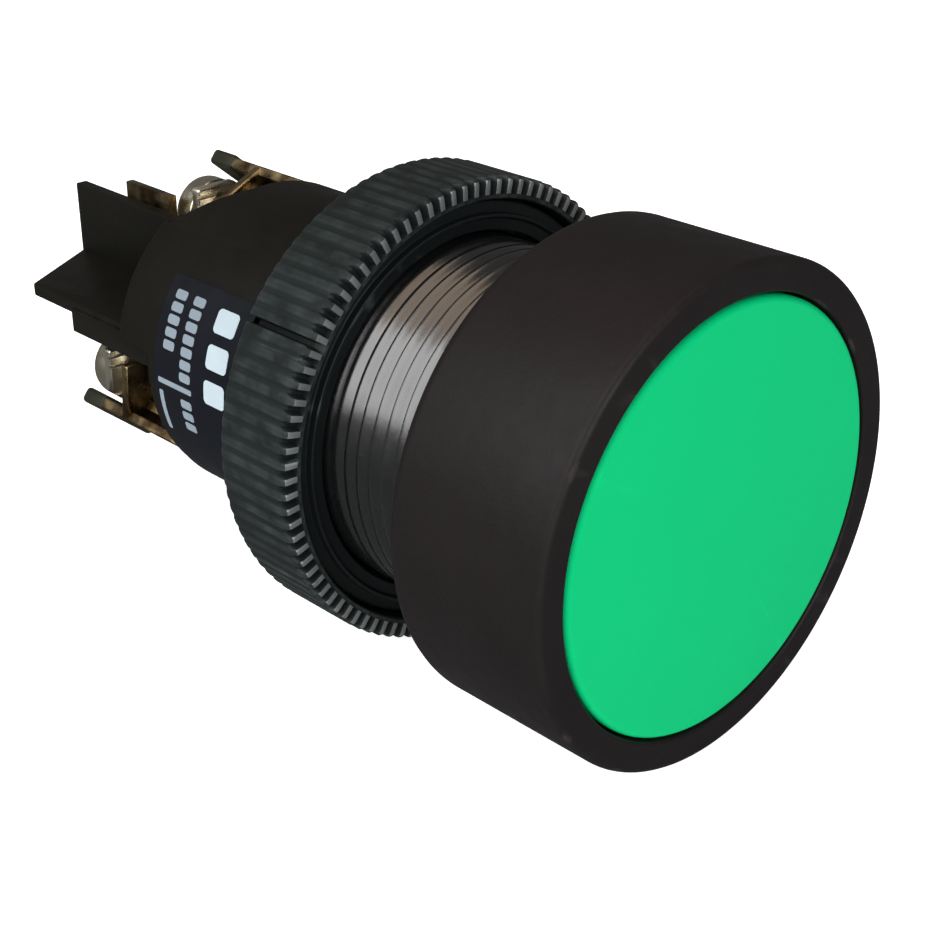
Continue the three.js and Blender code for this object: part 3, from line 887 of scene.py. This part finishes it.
def make_label():
    low, high = corners_of("label")
    inside = 10.25
    start, stop = 141, 262
    film = wrapped("label_wrap", [bar(start, stop, low.y, high.y, 0.4)], inside, 0.1, label_film)
    marks = [bar(a, a + 8.5, 18.9, 20.9, 0.3) for a in (146.5, 159, 171.5)]
    ink = wrapped("label_marks", marks, inside + 0.09, 0.02, label_ink)
    small = [bar(a, a + 3.3, y, y + 1.1, 0.18) for y in (22.3, 24.1) for a in (146, 150.5, 155, 159.5, 164)]
    small += [bar(a, a + 3.3, 22.3, 23.4, 0.18) for a in (168.5, 173, 183, 187.5, 192)]
    small += [bar(178.2, 180.2, 22.2, 25.6, 0.1), bar(183, 199, 25.2, 25.6, 0.1)]
    small_ink = wrapped("label_small_marks", small, inside + 0.09, 0.02, label_print)
    for printed in (ink, small_ink):
        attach(printed, BODY_OF["label"])
    stands_for(film, "label")


def make_terminal_block():
    low, high = corners_of("terminal_block")
    front, back, radius = low.y, 26.2, 8.6
    half_thickness, upright_reach, level_reach, level_end = 0.45, 5.45, 7.2, 45.0
    disc = fillet([(0, front), (radius, front, 0.2), (radius, back, 0.2), (0, back)])
    whole = revolve("barrier_block", disc, 128, housing_plastic)
    upright = block(
        "upright",
        (-half_thickness, half_thickness),
        (front + 0.5, high.y),
        (-upright_reach, upright_reach),
        housing_plastic,
    )
    level_outline = [
        (-level_reach, front + 0.5),
        (level_reach, front + 0.5),
        (level_reach, level_end, 0.3),
        (0, high.y, 0.3),
        (-level_reach, level_end, 0.3),
    ]
    level = slab("level", level_outline, -half_thickness, half_thickness, housing_plastic, axis="Z")
    parts = [upright, level]
    cuts = []
    for half in (0, 180):
        rib = block("rib", (0, 7.4), (front + 0.5, 40.0), (0, 1.7), housing_plastic)
        pad_outline = [(0, 0), (6.6, 0), (6.6, 3.6, 0.3), (3.4, 6.4, 0.3), (0, 6.4)]
        pad = slab("pad", pad_outline, back - 1, 32.5, housing_plastic)
        strap_slot = block("slot", (7.55, 9.6), (front - 1, 33.5), (-1.9, 1.9), housing_plastic, 0)
        well = slab("well", circle(1.9, 32, SCREW_PLACE), 25.2, 33.5, housing_plastic, rounding=0)
        parts += [turn(rib, half), turn(pad, half)]
        cuts += [turn(strap_slot, TERMINAL_ANGLE + half), turn(well, half)]
    combine(whole, "UNION", parts)
    combine(whole, "DIFFERENCE", cuts)
    stands_for(whole, "terminal_block")


# ---------------------------------------------------------------- the whole button

make_bezel()
make_gasket()
make_cap()
make_neck()
make_nut()
make_washer()
make_plunger()
make_seal()
make_springs()
make_clip()
make_bridge()
make_housing()
make_label()
make_terminal_block()
for end, end_turn in (("upper", 0), ("lower", 180)):
    make_tip("moving_contact_" + end, "bridge_tip_" + end, False, end_turn)
    make_tip("fixed_contact_" + end, "fixed_tip_" + end, True, end_turn)
    make_plate(end, end_turn)
    make_clamp(end, end_turn)
    make_screw(end, end_turn)

# ---------------------------------------------------------------- stage, light and camera


def make_floor():
    """A plain pale floor that the bezel and the nut rest on."""
    low, _ = corners_of("bezel")
    bm = bmesh.new()
    bmesh.ops.create_grid(bm, x_segments=1, y_segments=1, size=4000)
    bmesh.ops.translate(bm, vec=(0, 0, low.z), verts=bm.verts)
    shader = Shader("floor_paint")
    speckle = shader.noise(30, 2.0)
    pale = shader.finish(
        Base_Color=shader.blend(speckle, (0.90, 0.90, 0.89, 1), (0.93, 0.93, 0.93, 1)),
        Roughness=0.8,
        Emission_Color=(1.0, 1.0, 1.0, 1),
        Emission_Strength=0.8,
    )
    floor = mesh_piece("floor", bm, pale)
    floor.visible_glossy = False


def softbox(name, position, aim, size, power, colour=(1, 1, 1)):
    """An area light at a position in millimetres, facing a point. Its size is (width, height)."""
    light = bpy.data.lights.new(name, "AREA")
    light.shape = "RECTANGLE"
    light.size, light.size_y = size[0] * MM, size[1] * MM
    light.energy = power
    light.color = colour
    lamp = bpy.data.objects.new(name, light)
    lamp.location = Vector(position) * MM
    lamp.rotation_euler = (Vector(aim) - Vector(position)).to_track_quat("-Z", "Y").to_euler()
    bpy.context.scene.collection.objects.link(lamp)
    return lamp


def make_light():
    world = bpy.data.worlds.new("studio")
    bpy.context.scene.world = world
    world.use_nodes = True
    world.node_tree.nodes["Background"].inputs["Color"].default_value = (1.0, 1.0, 1.0, 1)
    world.node_tree.nodes["Background"].inputs["Strength"].default_value = 0.125
    softbox("left", (-268, 45, 209), (0, 10, 0), (420, 320), 1.45)
    softbox("warm_top", (-29, 30, 329), (0, 5, 0), (320, 230), 0.34, (1.0, 0.77, 0.58))
    softbox("edge", (-240, -250, 12), (0, 0, 0), (70, 70), 0.13)
    softbox("front", (-90, -330, 160), (0, 0, 0), (220, 220), 0.85)


def make_camera():
    camera = bpy.data.cameras.new("photo_view")
    camera.lens = 68.285
    camera.sensor_width = 36
    camera.clip_start = 0.001
    camera.clip_end = 10
    viewer = bpy.data.objects.new("photo_view", camera)
    viewer.location = Vector((-67.31, -59.66, 44.21)) * MM
    viewer.rotation_euler = Vector((0.6274, 0.6396, -0.4442)).to_track_quat("-Z", "Y").to_euler()
    bpy.context.scene.collection.objects.link(viewer)
    bpy.context.scene.camera = viewer


make_floor()
make_light()
make_camera()
bpy.context.scene.view_settings.view_transform = "Standard"
